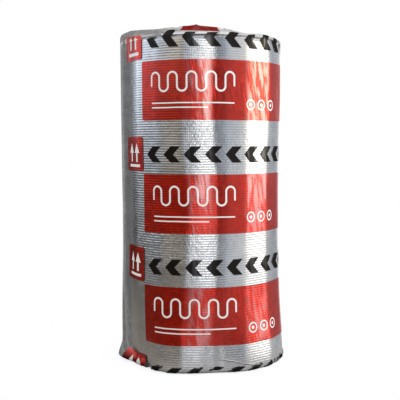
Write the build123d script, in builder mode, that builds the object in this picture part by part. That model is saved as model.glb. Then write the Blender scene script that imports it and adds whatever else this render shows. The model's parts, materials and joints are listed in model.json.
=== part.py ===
"""A foil-faced mineral wool mat, rolled with its foil outwards, sleeved in shrink film and standing on its end.

The origin is on the floor, under the middle of the bore. +Z is the roll's axis, and -Y is its front.
"""

import os
from math import cos, radians, sin, tan

from build123d import *

os.makedirs("parts", exist_ok=True)

# The mat: its width is the height of the standing roll
mat_width = 1200.0
mat_thickness = 50.0
turn_count = 4
bore_radius = 100.0

# Ends of the turns: each one is crowned, and dips where it meets its neighbour
turn_dip = 7.0
rim_rounding = 16.0

# Outer end of the mat: a step along the roll, with the foil rising back to the full radius in front of it
lap_step = 45.0
lap_angle = 180.0
lap_rise_angle = 70.0
lap_rise_middle_share = 0.25

# The shrink film: a sleeve that is drawn in over both ends and leaves a round opening in each
film_thickness = 0.15
film_clearance = 0.3
film_opening_radius = 165.0
film_foot_rounding = 15.0
film_shoulder_rounding = 22.0
film_shoulder_drop = 18.0
collar_slope_angle = 14.0
collar_curl_radius = 15.0
collar_curl_angle = 60.0

# How far a cut runs past what it cuts
overrun = 10.0

# Places that follow from the sizes above
roll_radius = bore_radius + turn_count * mat_thickness
film_radius = roll_radius + film_clearance + film_thickness
mat_foot = film_thickness + film_clearance
mat_top = mat_foot + mat_width


def turn_ends(end_height, dip):
    """Draws the crowned ends of all the turns, from the bore to the outside, as one chain of arcs."""
    for turn in range(turn_count):
        inner = bore_radius + turn * mat_thickness
        outer = inner + mat_thickness
        ThreePointArc(
            (inner, end_height + dip),
            ((inner + outer) / 2, end_height),
            (outer, end_height + dip),
        )


def around(radius, angle):
    """A point of the plan, at a radius and an angle about the roll's axis."""
    return (radius * cos(radians(angle)), radius * sin(radians(angle)))


# Rolled mat: a turned solid with its bore, its turns on its ends and the step of its outer end
with BuildPart() as mat_roll:
    with BuildSketch(Plane.XZ):
        with BuildLine():
            turn_ends(mat_foot, turn_dip)
            Line((roll_radius, mat_foot + turn_dip), (roll_radius, mat_top - turn_dip))
            turn_ends(mat_top, -turn_dip)
            Line((bore_radius, mat_top - turn_dip), (bore_radius, mat_foot + turn_dip))
        make_face()
    revolve(axis=Axis.Z)
    outer_rims = mat_roll.edges().filter_by(GeomType.CIRCLE).sort_by(SortBy.RADIUS)[-2:]
    fillet(outer_rims, rim_rounding)

    # The step: what lies between the full radius and the foil that rises to it
    with BuildSketch(Plane.XY.offset(mat_foot - overrun)):
        with BuildLine():
            outside = roll_radius + overrun
            lap_end_angle = lap_angle + lap_rise_angle
            lap_middle_angle = lap_angle + lap_rise_angle / 2
            foot_of_step = around(roll_radius - lap_step, lap_angle)
            end_of_rise = around(roll_radius, lap_end_angle)
            Line(around(outside, lap_angle), foot_of_step)
            ThreePointArc(
                foot_of_step,
                around(roll_radius - lap_rise_middle_share * lap_step, lap_middle_angle),
                end_of_rise,
            )
            Line(end_of_rise, around(outside, lap_end_angle))
            ThreePointArc(
                around(outside, lap_end_angle),
                around(outside, lap_middle_angle),
                around(outside, lap_angle),
            )
        make_face()
    extrude(amount=mat_width + 2 * overrun, mode=Mode.SUBTRACT)
mat_roll.part.label = "mat_roll"

# Shrink film: its outer outline from the lower opening, up the side and over the top to the curled upper edge
shoulder_turn_angle = 90 - collar_slope_angle
shoulder_start = mat_top - film_shoulder_drop
curl_reach = collar_curl_radius * (sin(radians(collar_slope_angle)) + sin(radians(collar_curl_angle)))
slope_inner_radius = film_opening_radius + curl_reach
with BuildPart() as film_wrap:
    with BuildSketch(Plane.XZ):
        with BuildLine():
            foot = Line((film_opening_radius, 0), (film_radius - film_foot_rounding, 0))
            foot_turn = JernArc(foot @ 1, foot % 1, film_foot_rounding, 90)
            side = Line(foot_turn @ 1, (film_radius, shoulder_start))
            shoulder = JernArc(side @ 1, side % 1, film_shoulder_rounding, shoulder_turn_angle)
            slope_length = (shoulder @ 1).X - slope_inner_radius
            slope_rise = slope_length * tan(radians(collar_slope_angle))
            slope = Line(shoulder @ 1, (slope_inner_radius, (shoulder @ 1).Y + slope_rise))
            JernArc(slope @ 1, slope % 1, collar_curl_radius, collar_slope_angle + collar_curl_angle)
            offset(amount=film_thickness, side=Side.LEFT, closed=True)
        make_face()
    revolve(axis=Axis.Z)
film_wrap.part.label = "film_wrap"

export_step(mat_roll.part, "parts/mat_roll.step")
export_step(film_wrap.part, "parts/film_wrap.step")
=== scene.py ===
"""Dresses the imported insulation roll: wool mat, foil facing and printed film, in a small photo studio."""

import json
import math

import bpy
import numpy as np
from bpy.props import FloatProperty, FloatVectorProperty, IntProperty, PointerProperty
from bpy.types import Operator, Panel, PropertyGroup
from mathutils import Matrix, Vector


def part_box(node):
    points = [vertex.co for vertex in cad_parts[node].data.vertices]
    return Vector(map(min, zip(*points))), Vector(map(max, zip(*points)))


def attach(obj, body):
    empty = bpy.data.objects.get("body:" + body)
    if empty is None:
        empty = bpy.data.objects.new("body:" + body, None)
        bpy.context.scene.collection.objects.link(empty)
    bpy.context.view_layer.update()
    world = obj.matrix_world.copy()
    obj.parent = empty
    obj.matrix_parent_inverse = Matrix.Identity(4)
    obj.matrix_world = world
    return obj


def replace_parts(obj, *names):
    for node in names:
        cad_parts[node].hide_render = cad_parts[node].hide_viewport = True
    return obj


bl_info = {
    "name": "Insulation roll",
    "version": (1, 0, 0),
    "blender": (4, 5, 0),
    "location": "View3D > Sidebar > Insulation roll",
    "description": "Models a foil-faced wool mat, rolled up and sleeved in printed shrink film",
    "category": "Object",
}

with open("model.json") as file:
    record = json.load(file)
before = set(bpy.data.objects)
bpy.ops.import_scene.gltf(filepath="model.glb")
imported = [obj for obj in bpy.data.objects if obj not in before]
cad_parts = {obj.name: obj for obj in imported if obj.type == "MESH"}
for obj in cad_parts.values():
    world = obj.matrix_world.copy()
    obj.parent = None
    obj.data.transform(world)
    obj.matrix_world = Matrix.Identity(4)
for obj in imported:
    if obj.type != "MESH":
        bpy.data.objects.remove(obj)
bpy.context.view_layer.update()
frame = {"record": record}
MAT_LOW, MAT_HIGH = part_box("mat_roll")
MOUNTS = {mount["name"]: mount for mount in frame["record"]["mounts"]}
MILLIMETRE = 0.001
BORE_RADIUS = MOUNTS["core_bore"]["dims"]["r_mm"] * MILLIMETRE
FULL_TURN = 2 * math.pi
BODY = "root"
MERGE_DISTANCE = 1e-5
FLOOR_GAP = 0.0003
# Vertices round each piece
COLUMNS = 324

# Creases of the foil, in degrees from the front and to the right. The stiff mat is nearly flat between them.
CREASES = (
    -90.2, -90.0, -71.0, -51.0, -30.0, -12.0, 11.5, 18.0, 33.0, 54.0, 74.0, 95.0,
    117.0, 138.0, 161.0, 181.0, 203.0, 226.0, 247.0,
)
CREASE_ANGLES = np.radians(np.array(CREASES + (CREASES[0] + 360,)))
# Round the roll, in degrees from the front: how far the foot stands out, the height of the film's shoulder
# over the mat's top and the height of its collar's crest over that top, in millimetres
FOOT_SWELL = {
    -110: 2, -92: 0, -79: 0, -70: 0, -60: -4, -40: -4, -24: 12, -13: 6, 0: -1, 6: -5, 13: -6, 20: 2,
    32: 18, 50: 23, 61: 21, 75: 16, 89: 13, 112: 5, 140: 1, 180: 3, 220: 0,
}
SHOULDER_LIFT = {
    -150: 9, -120: 18, -100: 28, -88: 34, -75: 34, -60: 27, -42: 20, -28: 15, -12: 11, 0: 9, 10: 8, 25: 6,
    31: 2, 37: 0, 45: 6, 55: 8, 70: 5, 90: 3, 120: 7, 150: 4, 180: 9,
}
COLLAR_CREST = {
    -150: 29, -120: 32, -90: 36, -53: 38, -36: 35, -23: 36, -10: 38, -5: 45, 2: 42, 9: 34, 21: 28, 28: 33,
    37: 30, 47: 22, 61: 18, 90: 21, 130: 25, 180: 27,
}
# What foil and film mirror, in degrees from the camera to the right: the studio's walls, with brightness and
# tint, and its two lit screens, with brightness
TINTS = {"cool": (0.90, 0.98, 1.10), "plain": (1.0, 1.0, 1.0), "warm": (1.12, 1.0, 0.84)}
WALLS = (
    (-179, 1.0, "plain"), (-167, 0.40, "plain"), (-155, 0.06, "plain"), (-146, 0.08, "plain"),
    (-137, 0.55, "cool"), (-126, 1.40, "cool"), (-86, 0.97, "cool"), (-60, 0.68, "cool"),
    (-45, 0.60, "warm"), (-28, 0.46, "warm"), (-20, 0.48, "plain"), (-6, 0.55, "cool"),
    (13, 0.42, "cool"), (26, 0.16, "cool"), (36, 0.34, "cool"), (46, 0.60, "cool"),
    (58, 0.66, "plain"), (72, 0.75, "plain"), (109, 0.70, "plain"), (134, 0.40, "cool"),
    (152, 0.80, "plain"), (179, 1.0, "plain"),
)
SCREENS = (
    (-179, 0), (-5, 0), (4, 2.3), (8, 2.1), (14, 0), (50, 0), (62, 0.12), (72, 0.50), (82, 2.7), (95, 2.7),
    (111, 0), (179, 0),
)
# The soft lamps: name, place, width and height, and power in watts
LAMPS = (
    ("right_softbox", (3.0, -0.9, 1.9), (1.6, 1.6), 70),
    ("front_softbox", (-0.8, -3.8, 2.6), (1.6, 1.2), 10),
    ("top_softbox", (-0.2, -0.3, 3.6), (2.2, 2.2), 22),
)
LAMP_TARGET = (0, 0, 0.65)


# What a user can change


def metres(name, description, default):
    return FloatProperty(name=name, description=description, default=default, unit="LENGTH")


def degrees(name, description, default):
    return FloatProperty(
        name=name, description=description, default=math.radians(default), subtype="ANGLE", unit="ROTATION")


def rgb(name, description, default):
    return FloatVectorProperty(
        name=name, description=description, default=default, subtype="COLOR", min=0, max=1)


class MatSizes(PropertyGroup):
    """The wool mat and its foil."""

    radius: metres("Roll radius", "Outside radius of the rolled mat", MAT_HIGH.x)
    foot: metres("Foot", "Height of the mat's lower end, on the film", MAT_LOW.z)
    top: metres("Top", "Height of the mat's upper end", MAT_HIGH.z)
    bore_radius: metres("Bore radius", "Radius of the open middle", BORE_RADIUS)
    thickness: metres("Mat thickness", "Thickness of one turn", 0.05)
    dip: metres("Dip between turns", "How far the ends dip where two turns meet", 0.007)
    rim: metres("Rim", "Rounding of the outer turn's edges", 0.016)
    lap_angle: degrees("Outer end", "Where the mat's outer end lies, from the front", -90)
    lap_step: metres("Outer end's step", "How far the mat steps down at its outer end", 0.045)
    lap_rise: degrees("Rise after the step", "Angle in which the foil regains the full radius", 70)
    wool: rgb("Wool", "Colour of the wool", (0.36, 0.31, 0.22))
    foil: rgb("Foil", "Colour of the foil", (0.86, 0.87, 0.89))
    rib_pitch: metres("Rib pitch", "Distance between the foil's fine ribs", 0.0088)


class FilmSizes(PropertyGroup):
    """The shrink film and its print."""

    gap: metres("Gap", "Distance from the foil where the film is tight", 0.0012)
    opening_radius: metres(
        "Opening radius", "Radius of the opening that the film leaves in each end", 0.165)
    foot_rounding: metres("Foot rounding", "Rounding where the film turns under the roll", 0.015)
    shoulder_rounding: metres("Shoulder rounding", "Rounding where the film turns over the top", 0.014)
    shoulder_drop: metres("Shoulder drop", "How far below the mat's top the shoulder starts", 0.012)
    cut_width: metres("Cut width", "Width of the film before it was drawn round the roll", 1.95)
    cut_length: metres("Cut length", "Length of the film before it was drawn in over the ends", 1.52)
    red: rgb("Red ink", "Colour of the panels", (0.70, 0.033, 0.016))
    black: rgb("Black ink", "Colour of the marks", (0.010, 0.008, 0.007))
    white: rgb("White ink", "Colour of the lines on the panels", (0.80, 0.78, 0.76))
    clear: rgb("Clear film", "Tint of the film where nothing is printed", (0.46, 0.455, 0.455))
    panel_left: metres("Panel's left edge", "Where a panel starts, round the roll from the front", -0.222)
    panel_width: metres("Panel width", "Width of a panel, round the roll", 0.64)
    panel_height: metres("Panel height", "Height of a panel", 0.2095)
    panel_foot: metres("Lowest panel", "Height of the lowest panel's lower edge", 0.1015)
    repeat_up: metres("Repeat up", "Height in which the print repeats", 0.400)
    skew: FloatProperty(
        name="Skew", description="How far the print leans, in shares of its height", default=0.012)
    repeats_round: IntProperty(
        name="Repeats round", description="How often the print repeats round the roll", default=2, min=1)


class StudioSizes(PropertyGroup):
    """The camera."""

    camera_distance: metres("Camera distance", "From the roll's axis to the camera", 3.09)
    camera_height: metres("Camera height", "Height of the camera over the floor", 0.8326)
    camera_tilt: degrees("Camera tilt", "How far the camera looks down", 4.29)
    camera_lens: FloatProperty(
        name="Lens", description="Focal length, in shares of the picture's width", default=2.0)


# Geometry


def around(radius, angle, height):
    """Points at a radius, an angle from the front and a height."""
    return np.stack([radius * np.sin(angle), -radius * np.cos(angle), height], axis=-1)


def eased(value, start, end):
    """0 up to start, 1 from end on and a smooth rise between them."""
    share = np.clip((value - start) / (end - start), 0, 1)
    return share * share * (3 - 2 * share)


def hump(value, middle, width):
    """A smooth hump of height 1."""
    return np.exp(-(((value - middle) / width) ** 2))


def eased_round(angle, start, end):
    """A smooth rise round the roll, between two angles in degrees."""
    return eased(angle, math.radians(start), math.radians(end))


def hump_round(angle, middle, width):
    """A smooth hump round the roll, with its angles in degrees."""
    return hump(angle, math.radians(middle), math.radians(width))


def listed(table, angle):
    """Metres from a table of degrees and millimetres, at angles round the roll."""
    at = np.radians(np.array(list(table)))
    return np.interp(angle, at, np.array(list(table.values())) * MILLIMETRE, period=FULL_TURN)


class Ripple:
    """Smooth seeded waves that close on themselves round the roll."""

    def __init__(self, seed, waves, round_range, up_range):
        draw = np.random.default_rng(seed)
        self.round = draw.integers(round_range[0], round_range[1] + 1, waves)
        self.up = draw.uniform(up_range[0], up_range[1], waves) * draw.choice((-1, 1), waves)
        self.phase = draw.uniform(0, FULL_TURN, waves)

    def __call__(self, angle, height):
        total = 0
        for turns, up, phase in zip(self.round, self.up, self.phase):
            total = total + np.sin(turns * angle + up * height + phase)
        return total / math.sqrt(len(self.round) / 2)


def read(items, name):
    """One vector of each of a mesh's vertices or faces."""
    vectors = np.zeros(len(items) * 3)
    items.foreach_get(name, vectors)
    return vectors.reshape(-1, 3)


def spun(name, outline, closed):
    """Draws an outline of (radius, height) with one extruded vertex and spins it round the roll's axis.

    Returns the piece, and each vertex's row in the outline and column round the roll.
    """
    bpy.ops.object.select_all(action="DESELECT")
    bpy.ops.mesh.primitive_plane_add(size=0.01, location=(0, 0, 0))
    piece = bpy.context.object
    piece.name = piece.data.name = name
    bpy.ops.object.mode_set(mode="EDIT")
    bpy.ops.mesh.select_all(action="SELECT")
    bpy.ops.mesh.merge(type="CENTER")
    radius, height = outline[0]
    bpy.ops.transform.translate(value=(0, radius, height))
    for (radius, height), (next_radius, next_height) in zip(outline[:-1], outline[1:]):
        step = (0, float(next_radius - radius), float(next_height - height))
        bpy.ops.mesh.extrude_vertices_move(TRANSFORM_OT_translate={"value": step})
    bpy.ops.mesh.select_all(action="SELECT")
    if closed:
        bpy.ops.object.mode_set(mode="OBJECT")
        ends = [0, len(piece.data.vertices) - 1]
        for vertex in piece.data.vertices:
            vertex.select = vertex.index in ends
        bpy.ops.object.mode_set(mode="EDIT")
        bpy.ops.mesh.edge_face_add()
        bpy.ops.mesh.select_all(action="SELECT")
    bpy.ops.mesh.spin(steps=COLUMNS, angle=FULL_TURN, center=(0, 0, 0), axis=(0, 0, 1))
    bpy.ops.mesh.select_all(action="SELECT")
    bpy.ops.mesh.remove_doubles(threshold=MERGE_DISTANCE)
    bpy.ops.mesh.normals_make_consistent(inside=False)
    bpy.ops.object.mode_set(mode="OBJECT")
    bpy.ops.object.shade_smooth()
    places = read(piece.data.vertices, "co")
    line = np.array(outline)
    off = (np.hypot(places[:, 0], places[:, 1])[:, None] - line[None, :, 0]) ** 2
    off = off + (places[:, 2][:, None] - line[None, :, 1]) ** 2
    row = off.argmin(1)
    angle = np.arctan2(places[:, 0], places[:, 1]) % FULL_TURN
    column = np.rint(angle / FULL_TURN * COLUMNS).astype(int) % COLUMNS
    return piece, row, column


def place(piece, row, column, grid):
    """Moves each vertex to its row's and column's point in a grid of points, and turns the faces outwards."""
    mesh = piece.data
    mesh.vertices.foreach_set("co", grid[row, column].astype(np.float32).ravel())
    mesh.update()
    middles, normals = read(mesh.polygons, "center"), read(mesh.polygons, "normal")
    side = np.abs(middles[:, 2] - (MAT_LOW.z + MAT_HIGH.z) / 2) < MAT_HIGH.z / 4
    side &= np.hypot(middles[:, 0], middles[:, 1]) > MAT_HIGH.x * 0.75
    if (middles[side, :2] * normals[side, :2]).sum() < 0:
        mesh.flip_normals()


def column_angles():
    """Angles of the columns, once round from the mat's outer end: one on each crease, and more beside it."""
    crowding = 0.66
    widths = np.diff(CREASE_ANGLES)
    narrow = widths < math.radians(1)
    shares = np.where(narrow, 0, widths) / widths[~narrow].sum() * (COLUMNS - narrow.sum())
    counts = np.where(narrow, 1, np.floor(shares).astype(int))
    order = np.argsort(-(shares - np.floor(shares)))
    for facet in order[: COLUMNS - counts.sum()]:
        counts[facet] += 1
    angles = []
    for start, width, count in zip(CREASE_ANGLES[:-1], widths, counts):
        share = np.arange(count) / count
        share = share - crowding * np.sin(FULL_TURN * share) / FULL_TURN
        angles.extend(start + width * share)
    return np.array(angles)


def facets(angle, sizes):
    """How far the foil lies inside a round plan: nearly flat between creases, which are slightly rounded."""
    flatness, uneven = 0.55, 0.0012
    edges = CREASE_ANGLES
    lift = np.random.default_rng(5).uniform(-uneven, uneven, len(edges))
    lift[-1] = lift[0]
    total = np.zeros_like(angle)
    blur = np.radians(np.linspace(-1.8, 1.8, 5))
    for turn in blur:
        turned = (angle + turn - edges[0]) % FULL_TURN + edges[0]
        facet = np.clip(np.searchsorted(edges, turned) - 1, 0, len(edges) - 2)
        low, high = edges[facet], edges[facet + 1]
        share, half = (turned - low) / (high - low), (high - low) / 2
        flat = np.cos(half) / np.cos(turned - low - half)
        total = total - sizes.radius * flatness * (1 - flat)
        total = total + lift[facet] * (1 - share) + lift[facet + 1] * share
    return total / len(blur)


def sway(angle, height):
    """How far the creases wander to the side on their way up."""
    return math.radians(1.1) * Ripple(12, 6, (1, 3), (4, 10))(angle, height)


def lap_depth(angle, sizes):
    """How far the foil lies inside a round plan after the mat's outer end."""
    turned = (angle - sizes.lap_angle + 1e-6) % FULL_TURN
    return sizes.lap_step * (1 - np.clip(turned / sizes.lap_rise, 0, 1)) ** 2


def foil_radius(angle, height, sizes):
    """Radius of the foil on the outer turn."""
    depth = facets(angle + sway(angle, height), sizes)
    return sizes.radius + depth - lap_depth(angle, sizes) + wall_swell(angle, height)


def edge_rounding(height, sizes):
    """How far the outer turn draws in at its two edges."""
    depth = 0.009
    from_end = np.minimum(height - sizes.foot, sizes.top - height)
    return depth * (1 - eased(from_end, 0, sizes.rim)) ** 2


def taut_plan(angle, sizes):
    """Radius of a taut film round the step at the mat's outer end: the plan's convex outline."""
    samples = np.linspace(-math.pi, math.pi, 1440, endpoint=False)
    plan = sizes.radius - lap_depth(samples, sizes)
    reach = np.array([(plan * np.cos(samples - way)).max() for way in samples])
    facing, sideways, far = np.cos(samples[None, :] - angle[:, None]), 0.2, sizes.radius * 9
    limits = np.where(facing > sideways, reach[None, :] / np.maximum(facing, sideways), far)
    return limits.min(1)


def wall_swell(angle, height):
    """How far the side stands out of its plan: a slight waist, an uneven foot and soft dents."""
    waist = -0.0018 * hump(height, 0.6, 0.35)
    left = 0.0032 * hump_round(angle, -80, 40) * eased(height, 0.75, 1.1)
    right = hump_round(angle, 84, 30) * (0.0045 + 0.006 * (1 - eased(height, 0.15, 0.5)))
    foot = listed(FOOT_SWELL, angle) * (1 - eased(height, 0.0, 0.34)) ** 1.5
    dents = 0.0010 * Ripple(11, 9, (1, 5), (3, 11))(angle, height)
    return waist + left + right + foot + dents


# Shader nodes


class Value:
    """A socket's value, on which arithmetic adds Math nodes."""

    def __init__(self, nodes, socket):
        self.nodes, self.socket = nodes, socket

    def _with(self, operation, *others):
        return self.nodes.add("ShaderNodeMath", {"operation": operation}, dict(enumerate((self,) + others)))

    def _reflected(self, operation, other):
        return self.nodes.add("ShaderNodeMath", {"operation": operation}, {0: other, 1: self})

    def __add__(self, other):
        return self._with("ADD", other)

    __radd__ = __add__

    def __sub__(self, other):
        return self._with("SUBTRACT", other)

    def __rsub__(self, other):
        return self._reflected("SUBTRACT", other)

    def __mul__(self, other):
        return self._with("MULTIPLY", other)

    __rmul__ = __mul__

    def __truediv__(self, other):
        return self._with("DIVIDE", other)

    def __rtruediv__(self, other):
        return self._reflected("DIVIDE", other)

    def __mod__(self, other):
        return self._with("FLOORED_MODULO", other)

    def __abs__(self):
        return self._with("ABSOLUTE")

    def __lt__(self, other):
        return self._with("LESS_THAN", other)

    def __gt__(self, other):
        return self._with("GREATER_THAN", other)

    def sine(self):
        return self._with("SINE")

    def root(self):
        return self._with("SQRT")

    def power(self, exponent):
        return self._with("POWER", exponent)

    def at_least(self, other):
        return self._with("MAXIMUM", other)

    def at_most(self, other):
        return self._with("MINIMUM", other)

    def scaled(self, factor):
        """A colour or vector times a value."""
        return self.nodes.add("ShaderNodeVectorMath", {"operation": "SCALE"}, {0: self, "Scale": factor})

    def ramp(self, low, high, to_low=0.0, to_high=1.0):
        """Rises smoothly from to_low at low to to_high at high."""
        return self.nodes.add(
            "ShaderNodeMapRange", {"interpolation_type": "SMOOTHSTEP", "clamp": True},
            {"Value": self, "From Min": low, "From Max": high, "To Min": to_low, "To Max": to_high})


class Nodes:
    """The node tree of one material or world."""

    def __init__(self, material):
        material.use_nodes = True
        self.tree = material.node_tree
        self.tree.nodes.clear()

    def add(self, kind, settings=None, inputs=None, output=0):
        """Adds a node with its settings and its sockets' values or links, and gives one of its outputs."""
        node = self.tree.nodes.new(kind)
        for name, value in (settings or {}).items():
            setattr(node, name, value)
        for name, value in (inputs or {}).items():
            socket = node.inputs[name]
            if isinstance(value, Value):
                self.tree.links.new(value.socket, socket)
            elif hasattr(socket.default_value, "__len__"):
                length = len(socket.default_value)
                socket.default_value = (tuple(value) + (1.0,))[:length]
            else:
                socket.default_value = value
        return Value(self, node.outputs[output]) if node.outputs else None

    def coordinates(self):
        """Object coordinates as three values."""
        place = self.add("ShaderNodeTexCoord", output="Object")
        return self.parts(place)

    def parts(self, vector):
        """The three values of a vector."""
        first = self.add("ShaderNodeSeparateXYZ", {}, {0: vector})
        return tuple(Value(self, socket) for socket in first.socket.node.outputs)

    def bearing(self, x, y):
        """Angle from the front, to the right."""
        return self.add("ShaderNodeMath", {"operation": "ARCTAN2"}, {0: x, 1: 0 - y})

    def rays(self):
        """1 for the camera's rays, for mirrored rays and for rays that pass through."""
        outputs = self.add("ShaderNodeLightPath").socket.node.outputs
        names = ("Is Camera Ray", "Is Glossy Ray", "Is Transmission Ray")
        return tuple(Value(self, outputs[name]) for name in names)

    def vector(self, x, y, z):
        return self.add("ShaderNodeCombineXYZ", {}, {0: x, 1: y, 2: z})

    def vectors(self, operation, first, second):
        return self.add("ShaderNodeVectorMath", {"operation": operation}, {0: first, 1: second})

    def noise(self, vector, scale, detail=2.0, roughness=0.5):
        return self.add(
            "ShaderNodeTexNoise", {"noise_dimensions": "3D"},
            {"Vector": vector, "Scale": scale, "Detail": detail, "Roughness": roughness})

    def mixed(self, factor, first, second):
        """A mix of two colours."""
        return self.add(
            "ShaderNodeMix", {"data_type": "RGBA", "clamp_factor": True},
            {0: factor, 6: first, 7: second}, output=2)

    def bump(self, height, distance, strength=1.0):
        return self.add(
            "ShaderNodeBump", {}, {"Height": height, "Distance": distance, "Strength": strength})

    def finish(self, **sockets):
        """Closes the tree with a Principled shader."""
        inputs = {name.replace("_", " "): value for name, value in sockets.items()}
        shader = self.add("ShaderNodeBsdfPrincipled", {}, inputs)
        self.add("ShaderNodeOutputMaterial", {}, {"Surface": shader})


def ribs(nodes, x, y, z, pitch):
    """The foil's relief in millimetres, and its ribs alone."""
    threads_round, thread, buckled, grained = 260.0, 0.02, 0.7, 0.08
    place = nodes.vector(x, y, z)
    wander = nodes.noise(place, 6.0, 1.0) - 0.5
    rib = ((z + wander * 0.004) * (FULL_TURN / pitch)).sine()
    depth = nodes.noise(nodes.vector(x, y, z * 3), 9.0, 1.0).ramp(0.3, 0.65, 0.09, 0.14)
    weave = (nodes.bearing(x, y) * threads_round).sine()
    buckle = nodes.noise(place, 26.0, 1.0)
    pressed = nodes.noise(place, 4.2, 1.0).ramp(0.50, 0.64, 0.27, 0.85)
    crumple = nodes.noise(place, 95.0, 2.0, 0.5) * pressed
    grain = nodes.noise(nodes.vector(x, y, z * 1.6), 420.0, 1.0)
    return rib * depth + weave * thread + buckle * buckled + crumple + grain * grained, rib


def wool_material(sizes):
    """Matted mineral fibres, with the foil's bright edge along each turn and painted shade in the gaps
    between turns.
    """
    material = bpy.data.materials.new("mineral_wool")
    nodes = Nodes(material)
    x, y, z = nodes.coordinates()
    place = nodes.vector(x, y, z)
    tufts = nodes.noise(place, 34.0, 4.0, 0.62)
    fibres = nodes.noise(nodes.vector(x, y, z * 0.35), 240.0, 4.0, 0.7)
    straw, shadow = (0.52, 0.47, 0.36), (0.03, 0.026, 0.02)
    dark = tuple(0.55 * part for part in sizes.wool)
    pale = tuple(min(1.0, 1.35 * part) for part in sizes.wool)
    colour = nodes.mixed(tufts.ramp(0.32, 0.68), dark, pale)
    colour = nodes.mixed(fibres.ramp(0.5, 0.75, 0.0, 0.5), colour, straw)
    out = (x.power(2) + y.power(2)).root() - sizes.bore_radius
    turns = out / sizes.thickness - (nodes.bearing(x, y) - sizes.lap_angle) / FULL_TURN
    seam = ((turns + 0.5) % 1 - 0.5) * sizes.thickness
    ragged = seam + (tufts - 0.5) * 0.006
    facing = abs(ragged + 0.0010).ramp(0.0006, 0.0012, 1.0, 0.0)
    gap = abs(ragged - 0.0012).ramp(0.0004, 0.0030, 1.0, 0.0)
    # Painted shade: the gaps between turns are painted nearly black
    colour = nodes.mixed(gap * 0.75, colour, shadow)
    colour = nodes.mixed(facing, colour, sizes.foil)
    height = tufts * 0.6 + fibres * 0.4 - gap * 0.5
    nodes.finish(
        Base_Color=colour, Roughness=0.92 - facing * 0.6, Metallic=facing, Specular_IOR_Level=0.2,
        Normal=nodes.bump(height, 0.006, 0.8))
    return material


def foil_material(sizes):
    """Satin aluminium foil with ribs, with painted shade between them."""
    material = bpy.data.materials.new("ribbed_foil")
    nodes = Nodes(material)
    x, y, z = nodes.coordinates()
    relief, rib = ribs(nodes, x, y, z, sizes.rib_pitch)
    dull, dark = (tuple(share * part for part in sizes.foil) for share in (0.92, 0.45))
    patches = nodes.noise(nodes.vector(x, y, z), 22.0, 3.0)
    colour = nodes.mixed(patches.ramp(0.35, 0.7), dull, sizes.foil)
    # Painted shade in the valleys between the ribs
    colour = nodes.mixed(rib.ramp(-1.0, -0.2, 0.3, 0.0), colour, dark)
    nodes.finish(
        Base_Color=colour, Metallic=1.0, Roughness=patches.ramp(0.3, 0.7, 0.19, 0.25),
        Normal=nodes.bump(relief, MILLIMETRE, 1.0))
    return material


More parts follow.
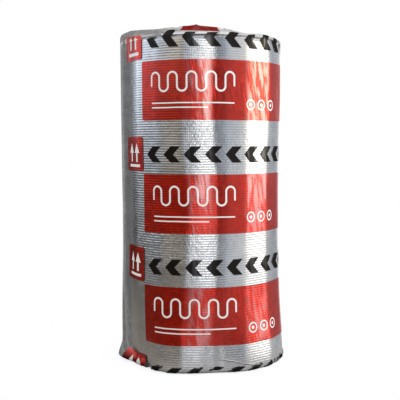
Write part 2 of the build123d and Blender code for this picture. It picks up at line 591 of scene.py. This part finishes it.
class FilmPrint:
    """Masks of the print's inks, from the film's own coordinates: u round the roll, v up it."""

    edge = 0.0006

    def __init__(self, nodes, sizes, mat):
        u, v, _ = nodes.parts(nodes.add("ShaderNodeUVMap", {"uv_map": "film"}))
        self.round = FULL_TURN * mat.radius / sizes.repeats_round
        self.across = (u + v * sizes.skew - sizes.panel_left) % self.round
        self.up = (v - sizes.panel_foot) % sizes.repeat_up
        self.over_panel = self.up - (sizes.panel_height + 0.0705)
        self.sizes = sizes

    def inside(self, distance):
        """1 where a distance is negative, with a soft edge."""
        return distance.ramp(-self.edge, self.edge, 1.0, 0.0)

    def block(self, x, y, half_width, half_height, corner):
        """A rounded rectangle."""
        x = abs(x) - (half_width - corner)
        y = abs(y) - (half_height - corner)
        outer = (x.at_least(0).power(2) + y.at_least(0).power(2)).root()
        return self.inside(outer + x.at_least(y).at_most(0) - corner)

    def panel(self):
        width, height = self.sizes.panel_width, self.sizes.panel_height
        return self.block(self.across - width / 2, self.up - height / 2, width / 2, height / 2, 0.008)

    def serpentine(self):
        """The looped line that stands for insulation on drawings."""
        loop, reach, line, loops, start = 0.034, 0.016, 0.0034, 9, 0.052
        cell = (self.across - start) / loop
        level = self.up - self.sizes.panel_height * 0.64
        upper = ((cell + 0.5) % 2 - 1) * loop
        lower = ((cell - 0.5) % 2 - 1) * loop
        over, below = level - reach, 0 - level - reach
        top = abs((upper.power(2) + over.power(2)).root() - loop / 2)
        bottom = abs((lower.power(2) + below.power(2)).root() - loop / 2)
        stem = abs((cell + 0.5) % 1 - 0.5) * loop
        drawn = self.inside(stem - line) * (abs(level) < reach)
        drawn = drawn * self.inside(abs(cell - loops / 2) * loop - loops / 2 * loop - line)
        for aside, beyond, arc in ((upper, over, top), (lower, below, bottom)):
            within = abs(cell - aside / loop - loops / 2) < loops / 2
            drawn = drawn.at_least(self.inside(arc - line) * (beyond > 0) * within)
        return drawn

    def rules_and_rings(self):
        """Two thin rules under the looped line and a row of rings beside them."""
        long = self.block(self.across - 0.205, self.up - 0.060, 0.153, 0.0024, 0.002)
        short = self.block(self.across - 0.157, self.up - 0.044, 0.105, 0.0024, 0.002)
        pitch, count, start = 0.052, 3, 0.400
        x = (self.across - start) % pitch - pitch / 2
        away = (x.power(2) + (self.up - 0.056).power(2)).root()
        ring = self.inside(abs(away - 0.017) - 0.0026).at_least(self.inside(away - 0.006))
        ring = ring * (abs(self.across - start - pitch * count / 2) < pitch * count / 2)
        return long.at_least(short).at_least(ring)

    def way_up(self):
        """A block with two arrows that point up over a bar: the block's mask and the arrows'."""
        x = (self.across + 0.0745 + self.round / 2) % self.round - self.round / 2
        y = self.over_panel
        block = self.block(x, y, 0.072, 0.062, 0.010)
        beside = abs(abs(x - 0.006) - 0.026)
        stem = self.inside(beside - 0.0065) * self.inside(abs(y + 0.012) - 0.016)
        head = self.inside(beside - (0.040 - y) * 0.55) * (y > 0.004)
        bar = self.inside(abs(y + 0.042) - 0.005) * self.inside(abs(x - 0.006) - 0.048)
        return block, stem.at_least(head).at_least(bar) * block

    def chevrons(self):
        """A row of chevrons that point the way in which the mat unrolls."""
        pitch, stroke, count, start, half_height = 0.0755, 0.018, 9, 0.022, 0.0285
        x = (self.across - start) % self.round
        y = self.over_panel
        slant = (x - abs(y) * 0.95 + pitch) % pitch
        row = self.inside(abs(slant - stroke) - stroke) * self.inside(abs(y) - half_height)
        return row * self.inside(abs(x - pitch * count / 2) - pitch * count / 2)


def film_material(sizes, mat):
    """Clear film with red blocks, white lines and black chevrons, hazy where it is slack or gathered."""
    material = bpy.data.materials.new("printed_film")
    nodes = Nodes(material)
    x, y, z = nodes.coordinates()
    place, bearing = nodes.vector(x, y, z), nodes.bearing(x, y)
    haze = nodes.add("ShaderNodeAttribute", {"attribute_name": "haze"}, output="Fac")
    slack = nodes.add("ShaderNodeAttribute", {"attribute_name": "slack"}, output="Fac")
    design = FilmPrint(nodes, sizes, mat)
    block, arrows = design.way_up()
    panel = design.panel()
    red = panel.at_least(block)
    black = design.chevrons()
    white = (design.serpentine().at_least(design.rules_and_rings()) * panel).at_least(arrows)

    # The inks, with the red painted dark as shade where the film is slack and no foil shines behind it, most
    # of all near the foot
    worn_red, shaded_red = tuple(0.85 * part for part in sizes.red), (0.05, 0.001, 0.001)
    shaded_haze_tone = tuple(0.5 * part for part in sizes.clear)
    wear = nodes.noise(place, 55.0, 3.0, 0.6)
    red_tone = nodes.mixed(wear.ramp(0.3, 0.7), worn_red, sizes.red)
    # Painted shade on the red, deeper near the foot
    red_tone = nodes.mixed(slack * z.ramp(0.05, 0.2, 0.95, 0.8), red_tone, shaded_red)
    # Painted shade: the most hazy film is painted at half its tint's brightness
    tone = nodes.mixed(haze.ramp(0.55, 0.85), sizes.clear, shaded_haze_tone)
    colour = nodes.mixed(red, tone, red_tone)
    colour = nodes.mixed(black, colour, sizes.black)
    colour = nodes.mixed(white, colour, sizes.white)

    # Two upright bands where the film is pulled tight, slanting crinkles and a fan of fine streaks
    front = abs(bearing + 0.01).ramp(0.08, 0.17, 1.0, 0.0)
    right = abs(bearing - 0.76).ramp(0.14, 0.23, 1.0, 0.0)
    pulled = front.at_least(right * z.ramp(0.40, 0.80, 0.55, 1.0))
    where = nodes.noise(place, 9.0, 1.0).ramp(0.40, 0.58) * (1 - slack)
    where = where.at_least(pulled * z.ramp(0.35, 0.95, 0.15, 1.0))
    slanted = nodes.noise(nodes.vector(x + z * 0.22, y, z * 0.28), 34.0, 2.0)
    crinkles = abs(slanted - 0.5).ramp(0.0, 0.014, 1.0, 0.0) * where
    fan = nodes.noise(nodes.vector(x + z * 0.16, y, z * 0.16), 62.0, 3.0)
    gloss = pulled * fan.ramp(0.42, 0.60) * 0.85 + 0.15

    # A painted highlight across the foot, to the right of the front: a white line where a fold would catch
    # the light, with a painted shadow under it
    shadow = (0.10, 0.10, 0.10)
    above_fold = z + bearing * 0.063 + slanted * 0.02 - 0.078
    reach = bearing.ramp(0.20, 0.28) * bearing.ramp(0.62, 0.80, 1.0, 0.0)
    # The painted highlight's mask, and under it the painted shadow's
    fold = abs(above_fold).ramp(0.0, 0.0030, 1.0, 0.0) * reach
    shade = abs(above_fold + 0.0052).ramp(0.0, 0.0036, 1.0, 0.0) * reach
    colour = nodes.mixed(shade, nodes.mixed(fold, colour, sizes.white), shadow)

    # Clear film, which upright streaks cloud where it is slack
    streaks = nodes.noise(nodes.vector(x * 6, y * 6, z * 0.4), 18.0, 2.0)
    clear = haze * wear.ramp(0.3, 0.7, 0.8, 1.15) * ((streaks - 0.5) * slack * 1.6 + 1)
    # The fold's painted highlight and painted shadow also raise the alpha
    clear = clear + crinkles * 0.2 + fold * 0.7 + shade * 0.5 + 0.04
    alpha = (red * 0.985).at_least(black * 0.99).at_least(clear.at_most(0.95))
    relief, _ = ribs(nodes, x, y, z, mat.rib_pitch)
    relief = relief * (1 - slack) + streaks * slack * 1.4 + crinkles * 0.2 + fan * where * 1.8
    nodes.finish(
        Base_Color=colour,
        Metallic=red * (1 - white) * (1 - slack) * 0.88,
        Roughness=wear.ramp(0.3, 0.7, 0.18, 0.26),
        Alpha=alpha,
        Specular_IOR_Level=0.0,
        Coat_Weight=red.at_least(black * 0.4) * (1 - slack * 0.9) * gloss,
        Coat_IOR=2.8,
        Coat_Roughness=0.08,
        Normal=nodes.bump(relief, MILLIMETRE, 1.0))
    return material


# Pieces


class ROLL_OT_wool_mat(Operator):
    """Models the rolled wool: its bore, its spiral ends and the cut face of its outer end"""

    bl_idname = "insulation_roll.wool_mat"
    bl_label = "Wool mat"

    def execute(self, context):
        mat = context.scene.insulation_mat
        rings, levels, inset, foil_gap = 78, 10, 0.004, 0.0012
        dip_width, tuft, rim_drop, bore_drop = 0.006, 0.0012, 0.010, 0.004
        inner = np.full(levels, mat.bore_radius)
        heights = np.linspace(mat.foot + inset, mat.top - inset, levels)
        ends = np.linspace(mat.bore_radius + 0.002, mat.radius - 0.003, rings)
        outer = np.full(levels, mat.radius - 0.001)
        outline = list(zip(inner, heights))
        outline += [(radius, mat.top) for radius in ends]
        outline += list(zip(outer, heights[::-1]))
        outline += [(radius, mat.foot) for radius in ends[::-1]]
        piece, row, column = spun("mat_wool", outline, closed=True)

        angle = column_angles()[None, :]
        line = np.array(outline)
        radius, height = line[:, 0][:, None], line[:, 1][:, None]
        share = (radius - mat.bore_radius) / (mat.radius - mat.bore_radius)
        wall = foil_radius(angle, height, mat) - edge_rounding(height, mat) - foil_gap
        radius = mat.bore_radius + (wall - mat.bore_radius) * share
        turn = (radius - mat.bore_radius) / mat.thickness - (angle - mat.lap_angle) / FULL_TURN
        from_line = np.abs((turn + 0.5) % 1 - 0.5) * mat.thickness
        crown = -mat.dip * np.exp(-from_line / dip_width)
        tufts = tuft * Ripple(21, 24, (5, 40), (60, 200))(angle, radius)
        rim = -rim_drop * eased(radius, mat.radius - 2 * mat.rim, mat.radius)
        rim = rim - bore_drop * hump(share, 0, 0.04)
        rows, relief = np.arange(len(outline))[:, None], crown + tufts + rim
        top, bottom = (rows >= levels) & (rows < levels + rings), rows >= 2 * levels + rings
        height = height + np.where(top, relief, 0) + np.where(bottom, np.maximum(-relief, 0), 0)
        place(piece, row, column, around(radius, angle, height))
        piece.data.materials.append(wool_material(mat))
        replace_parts(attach(piece, BODY), "mat_roll")
        return {"FINISHED"}


class ROLL_OT_foil_facing(Operator):
    """Models the foil on the outer turn, creased where the mat bends"""

    bl_idname = "insulation_roll.foil_facing"
    bl_label = "Foil facing"

    def execute(self, context):
        mat = context.scene.insulation_mat
        levels, lip, lip_step, inset = 120, 5, 0.002, 0.001
        heights = np.linspace(mat.foot + inset, mat.top - inset, levels)
        outline = [(mat.radius - lip_step * step, heights[0]) for step in range(lip, 0, -1)]
        outline += [(mat.radius, height) for height in heights]
        outline += [(mat.radius - lip_step * step, heights[-1]) for step in range(1, lip + 1)]
        piece, row, column = spun("foil_facing", outline, closed=False)
        angle = column_angles()[None, :]
        line = np.array(outline)
        height = line[:, 1][:, None]
        radius = foil_radius(angle, height, mat) + (line[:, 0] - mat.radius)[:, None]
        radius = radius - edge_rounding(height, mat)
        height = np.broadcast_to(height, radius.shape)
        place(piece, row, column, around(radius, angle, height))
        piece.data.materials.append(foil_material(mat))
        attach(piece, BODY)
        return {"FINISHED"}


class ROLL_OT_film_sleeve(Operator):
    """Models the film: taut on the side, drawn in under the foot and gathered over the top"""

    bl_idname = "insulation_roll.film_sleeve"
    bl_label = "Film sleeve"

    def outline(self, mat, film):
        """Rows of the film from the lower opening to the upper one, as (radius, height)."""
        wall, shoulder = mat.radius + film.gap, mat.top - film.shoulder_drop
        foot, rounding = film.foot_rounding, film.shoulder_rounding
        slope, curl, curl_end = math.radians(14), 0.015, math.radians(60)
        floor_rows, bend_rows, wall_rows, shoulder_rows, cover_rows, curl_rows = 18, 9, 92, 11, 23, 9
        points = [(radius, 0.0) for radius in np.linspace(film.opening_radius, wall - foot, floor_rows)[:-1]]
        for turn in np.linspace(0, math.pi / 2, bend_rows)[:-1]:
            points.append((wall - foot * (1 - math.sin(turn)), foot * (1 - math.cos(turn))))
        points += [(wall, height) for height in np.linspace(foot, shoulder, wall_rows)[:-1]]
        for turn in np.linspace(0, math.pi / 2 - slope, shoulder_rows)[:-1]:
            points.append((wall - rounding * (1 - math.cos(turn)), shoulder + rounding * math.sin(turn)))
        start_radius = wall - rounding * (1 - math.sin(slope))
        start_height = shoulder + rounding * math.cos(slope)
        end_radius = film.opening_radius + curl * (math.sin(slope) + math.sin(curl_end))
        for radius in np.linspace(start_radius, end_radius, cover_rows)[:-1]:
            points.append((radius, start_height + (start_radius - radius) * math.tan(slope)))
        end_height = start_height + (start_radius - end_radius) * math.tan(slope)
        for turn in np.linspace(-slope, curl_end, curl_rows):
            points.append((
                end_radius - curl * (math.sin(slope) + math.sin(turn)),
                end_height + curl * (math.cos(turn) - math.cos(slope))))
        return points

    def drawn(self, mat, film, line, turn, length):
        """The film's points, haze and slack by row and column, from its outline and the length along it."""
        radius, height = line[:, 0][:, None], line[:, 1][:, None]
        lap = eased_round(turn, -108, -92) * (1 - eased_round(turn, -80, -68)) * np.ones_like(length)
        taut = facets(turn + sway(turn, height), mat) * (1 - lap)
        wall = taut_plan(turn[0], mat)[None, :] + taut + wall_swell(turn, height) + film.gap
        radius = radius * wall / mat.radius
        crest, cover = line[:, 1].argmax(), mat.top + 0.02
        over = eased(length, mat.top - 0.07, cover)
        inward = np.clip((length - cover) / (length[crest] - cover), 0, 1.15)
        wrinkle, fold, ruffle, wave, ridge = 0.0010, 0.0022, 0.0024, 0.0030, 0.009

        # The mat's outer end: the film spans its step in long upright wrinkles
        wrinkles = Ripple(31, 14, (70, 150), (1, 9))(turn, height)
        radius = radius + lap * wrinkle * wrinkles * eased(length, -0.03, 0.05)

        # The top: slack on the left and tight on the right, drawn in to a ruffled collar
        folds = Ripple(41, 14, (12, 38), (0, 6))(turn, length)
        ruffles = Ripple(42, 10, (16, 34), (0, 20))(turn, length)
        waves = Ripple(43, 10, (9, 24), (0, 8))(turn, length)
        lift = listed(SHOULDER_LIFT, turn)
        rise = listed(COLLAR_CREST, turn) + mat.top - line[crest, 1]
        height = height + over * (lift * (1 - inward) + rise * inward)
        front = 1 - eased_round(np.abs(turn), 14, 25)
        calm = 1 - 0.75 * front
        height = height + front * ridge * hump(inward, 0.35, 0.22)
        height = height + inward * calm * fold * folds + inward**2 * calm * ruffle * ruffles
        radius = radius + over * wrinkle * folds + inward**2 * wave * waves

        # The foot: gathers where the film turns under, and a loose corner at the mat's outer end
        gather, crease, ear_reach, ear_lift, beside_reach, arch = 0.0018, 0.0016, 0.034, 0.004, 0.009, 0.006
        gathers = Ripple(51, 18, (40, 110), (0, 20))(turn, length)
        turned_under = hump(length, 0.006, 0.018)
        radius = radius + turned_under * gather * gathers
        ear = hump_round(turn, -75, 14) * hump(length, 0.010, 0.027)
        beside = hump_round(turn, -42, 26) * hump(length, 0.008, 0.022)
        radius = radius + ear_reach * ear + beside_reach * beside
        creases = Ripple(52, 10, (8, 26), (20, 60))(turn, height)
        loose = hump_round(turn, 40, 32) * hump(length, 0.04, 0.05)
        radius = radius + crease * loose * creases
        height = height + ear_lift * ear + crease * turned_under * gathers
        height = height + arch * hump_round(turn, 11, 9) * hump(length, 0.0, 0.02)
        height = np.maximum(np.broadcast_to(height, radius.shape), FLOOR_GAP)

        # Where the film is slack or gathered it is hazy, and the foil doesn't shine through it
        left = hump_round(turn, -70, 60)
        above = eased(height, mat.top - 0.008, mat.top + 0.005)
        strip = hump_round(turn, -92, 9) * (1 - above)
        rim = 1 - eased(inward, 0.02, 0.22)
        low = 1 - eased(height, 0.08, 0.34)
        haze = 0.68 * strip + 0.12 * lap + above * (0.34 + 0.28 * rim + 0.22 * left)
        haze = haze + 0.35 * lap * low + 0.4 * hump_round(turn, -69, 8) * (0.5 + 0.5 * low)
        haze = haze + 0.12 * eased(inward, 0.75, 1.0) + 1.1 * ear + 0.12 * turned_under
        slack = lap + ear + eased(length, mat.top - 0.016, mat.top + 0.004) + turned_under
        return around(radius, turn, height), np.clip(haze, 0, 0.92), np.clip(slack, 0, 1)

    def printed(self, mat, angle, up):
        """The print's coordinates at the faces' corners: round the roll from the front, and up the film."""
        across = (angle * mat.radius).reshape(-1, 4)
        beyond = across < across.max(1, keepdims=True) - math.pi * mat.radius
        across = np.where(beyond, across + FULL_TURN * mat.radius, across)

        # On the top the print is drawn in unevenly, so that a panel or a block shows here and there
        at, ramp, foot_shift = (angle + math.pi) % FULL_TURN - math.pi, 0.005, 0.016
        middle = 1 - eased_round(np.abs(at), 13, 18)
        corner = eased_round(at, -96, -84) * (1 - eased_round(at, -32, -22))
        back = hump_round(at, 118, 24)
        tucked = 0.105 * middle + 0.060 * corner + 0.050 * back
        start = mat.top + 0.003 - 0.007 * middle - 0.025 * corner - 0.017 * back
        squeezed = (0.42 + 0.45 * middle + 0.52 * corner) * np.clip(up - start - ramp, 0, None)
        up = up + tucked * eased(up, start, start + ramp) - squeezed
        up = up - foot_shift * (1 - eased(up, 0.0, 0.07))
        return np.stack([across.ravel(), up], axis=1)

    def execute(self, context):
        mat, film = context.scene.insulation_mat, context.scene.insulation_film
        outline = self.outline(mat, film)
        piece, row, column = spun("film_sleeve", outline, closed=False)
        angle, line = column_angles(), np.array(outline)
        along = np.concatenate([[0], np.cumsum(np.hypot(*np.diff(line, axis=0).T))])
        side = np.flatnonzero(np.isclose(line[:, 0], mat.radius + film.gap))[0]
        along = along - along[side] + line[side, 1]
        points, haze, slack = self.drawn(mat, film, line, angle[None, :], along[:, None])
        place(piece, row, column, points)
        for name, values in (("haze", haze), ("slack", slack)):
            layer = piece.data.attributes.new(name, "FLOAT", "POINT")
            layer.data.foreach_set("value", values[row, column].astype(np.float32))
        corners = np.zeros(len(piece.data.loops), int)
        piece.data.loops.foreach_get("vertex_index", corners)
        places = self.printed(mat, angle[column[corners]], along[row[corners]])
        layer = piece.data.uv_layers.new(name="film")
        layer.data.foreach_set("uv", places.astype(np.float32).ravel())
        piece.data.materials.append(film_material(film, mat))
        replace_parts(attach(piece, BODY), "film_wrap")
        return {"FINISHED"}


class ROLL_OT_studio(Operator):
    """Sets up the pale floor, the mirrored room, the soft lamps and the camera"""

    bl_idname = "insulation_roll.studio"
    bl_label = "Studio"

    def softbox(self, name, place, size, power):
        lamp = bpy.data.lights.new(name, "AREA")
        lamp.shape, lamp.size, lamp.size_y = "RECTANGLE", size[0], size[1]
        lamp.energy = power
        stand = bpy.data.objects.new(name, lamp)
        stand.visible_glossy = False
        bpy.context.scene.collection.objects.link(stand)
        stand.location = place
        stand.rotation_euler = (Vector(LAMP_TARGET) - Vector(place)).to_track_quat("-Z", "Y").to_euler()

    def swept(self, nodes, bearing, spots):
        """Colours that change with the bearing."""
        colours = nodes.add("ShaderNodeValToRGB", {}, {"Fac": bearing})
        ramp = colours.socket.node.color_ramp
        ramp.interpolation = "EASE"
        for at, colour in spots:
            ramp.elements.new(at / 360 + 0.5).color = tuple(colour) + (1.0,)
        ramp.elements.remove(ramp.elements[0])
        ramp.elements.remove(ramp.elements[-1])
        return colours

    def lay_floor(self):
        """A matt disc that keeps the roll's shadow, is white to the camera and fades out to its edge. Its
        matt colour is painted darker and warmer on the left, as shade.
        """
        bpy.ops.object.select_all(action="DESELECT")
        bpy.ops.mesh.primitive_circle_add(vertices=96, radius=0.9, fill_type="NGON", location=(0, 0, 0))
        floor = bpy.context.object
        floor.name = "studio_floor"
        paint = bpy.data.materials.new("studio_floor")
        nodes = Nodes(paint)
        x, y, _ = nodes.coordinates()
        camera_ray, glossy_ray, through = nodes.rays()
        fade = (x.power(2) + y.power(2)).root().ramp(0.30, 0.82)
        right = x.ramp(-0.35, 0.10)
        # Painted shade: the matt colour is darker and warmer on the left, and the camera's glow is raised
        # there to keep it white
        shaded_matt_left, matt_right = (0.25, 0.215, 0.17), (0.38, 0.38, 0.38)
        glow_left, glow_right = (0.80, 0.83, 0.87), (0.65, 0.65, 0.65)
        matt = nodes.add("ShaderNodeBsdfDiffuse", {}, {"Color": nodes.mixed(right, shaded_matt_left, matt_right)})
        paper = nodes.add("ShaderNodeEmission", {}, {
            "Color": nodes.mixed(right, glow_left, glow_right),
            "Strength": camera_ray + (glossy_ray + through) * 0.05})
        lit = nodes.add("ShaderNodeAddShader", {}, {0: matt, 1: paper})
        open_air = nodes.add("ShaderNodeBsdfTransparent")
        blend = nodes.add("ShaderNodeMixShader", {}, {0: fade, 1: lit, 2: open_air})
        nodes.add("ShaderNodeOutputMaterial", {}, {"Surface": blend})
        floor.data.materials.append(paint)

    def light_room(self, scene):
        """A world that is white to the camera, plain to matt surfaces and a lit room to shiny ones."""
        scene.world = bpy.data.worlds.new("studio")
        nodes = Nodes(scene.world)
        camera_ray, glossy_ray, through = nodes.rays()
        x, y, z = nodes.parts(nodes.add("ShaderNodeTexCoord", output="Generated"))
        behind = y.ramp(0.88, 0.97)
        white_share = camera_ray.at_least((glossy_ray + through) * behind)
        white = nodes.add("ShaderNodeBackground", {}, {"Color": (1, 1, 1), "Strength": 1.0})
        neutral, plain = (1.0, 1.0, 1.0), (0.8, 0.8, 0.8)

        # The walls, dimmer and warmer low down on the left
        bearing = nodes.bearing(x, y) / FULL_TURN + 0.5
        spots = [(at, [level * part for part in TINTS[tint]]) for at, level, tint in WALLS]
        walls = self.swept(nodes, bearing, spots)
        left, right = z.ramp(-0.10, 0.14, 0.03, 1.0), z.ramp(-0.26, 0.05, 0.55, 1.0)
        level = nodes.add("ShaderNodeMix", {"data_type": "FLOAT"}, {0: x.ramp(-0.3, 0.0), 2: left, 3: right})
        warmth = z.ramp(-0.20, 0.02).at_least(x.ramp(-0.35, -0.05))
        tint = nodes.mixed(warmth, (1.18, 1.0, 0.80), neutral).scaled(level)
        walls = nodes.vectors("MULTIPLY", walls, tint)

        # The screens, with their lower and upper ends, warm in their upper half
        screens = self.swept(nodes, bearing, [(at, [level] * 3) for at, level in SCREENS])
        screen_warmth = z.ramp(-0.08, 0.02) * x.ramp(0.2, 0.8, 0.4, 1.0)
        screen_tint = nodes.mixed(screen_warmth, neutral, (1.15, 1.0, 0.74))
        screen_tint = screen_tint.scaled(z.ramp(-0.20, 0.06, 0.06, 1.0) * z.ramp(0.14, 0.24, 1.0, 0.10))
        walls = nodes.vectors("ADD", walls, nodes.vectors("MULTIPLY", screens, screen_tint))

        # The dim floor in front of the walls
        low = z.ramp(-0.26, -0.15, 1.0, 0.0)
        far_left = nodes.mixed(z.ramp(-0.26, -0.04), (0.100, 0.086, 0.062), (0, 0, 0))
        dim = nodes.mixed(x.ramp(-0.40, 0.0), (0.26, 0.228, 0.185), (0.29, 0.29, 0.29)).scaled(low)
        walls = nodes.vectors("ADD", walls, nodes.mixed(x.ramp(-0.90, -0.65), far_left, dim))

        light = nodes.mixed(glossy_ray, plain, walls)
        soft = nodes.add("ShaderNodeBackground", {}, {"Color": light, "Strength": 1.0})
        blend = nodes.add("ShaderNodeMixShader", {}, {0: white_share, 1: soft, 2: white})
        nodes.add("ShaderNodeOutputWorld", {}, {"Surface": blend})

    def set_camera(self, scene, studio):
        lens = bpy.data.cameras.new("camera")
        lens.sensor_fit, lens.sensor_width = "AUTO", 36.0
        lens.lens = studio.camera_lens * lens.sensor_width
        camera = bpy.data.objects.new("camera", lens)
        scene.collection.objects.link(camera)
        camera.location = (0, -studio.camera_distance, studio.camera_height)
        camera.rotation_euler = (math.pi / 2 - studio.camera_tilt, 0, 0)
        scene.camera = camera

    def execute(self, context):
        scene = context.scene
        scene.view_settings.view_transform = "Standard"
        self.lay_floor()
        self.light_room(scene)
        for lamp in LAMPS:
            self.softbox(*lamp)
        self.set_camera(scene, scene.insulation_studio)
        return {"FINISHED"}


class ROLL_PT_pieces(Panel):
    """Lists the roll's pieces in the 3D view's sidebar"""

    bl_label = "Insulation roll"
    bl_idname = "ROLL_PT_pieces"
    bl_space_type = "VIEW_3D"
    bl_region_type = "UI"
    bl_category = "Insulation roll"

    def draw(self, context):
        for operator in OPERATORS:
            self.layout.operator(operator.bl_idname)
        for group in GROUPS:
            settings = getattr(context.scene, group)
            for name in settings.bl_rna.properties.keys():
                if name not in {"name", "rna_type"}:
                    self.layout.prop(settings, name)


GROUPS = {
    "insulation_mat": MatSizes,
    "insulation_film": FilmSizes,
    "insulation_studio": StudioSizes,
}
OPERATORS = (ROLL_OT_wool_mat, ROLL_OT_foil_facing, ROLL_OT_film_sleeve, ROLL_OT_studio)
CLASSES = tuple(GROUPS.values()) + OPERATORS + (ROLL_PT_pieces,)


def register():
    for cls in CLASSES:
        bpy.utils.register_class(cls)
    for name, group in GROUPS.items():
        setattr(bpy.types.Scene, name, PointerProperty(type=group))


def unregister():
    for name in GROUPS:
        delattr(bpy.types.Scene, name)
    for cls in reversed(CLASSES):
        bpy.utils.unregister_class(cls)


def main():
    register()
    bpy.ops.insulation_roll.wool_mat()
    bpy.ops.insulation_roll.foil_facing()
    bpy.ops.insulation_roll.film_sleeve()
    bpy.ops.insulation_roll.studio()


if __name__ == "__main__":
    main()
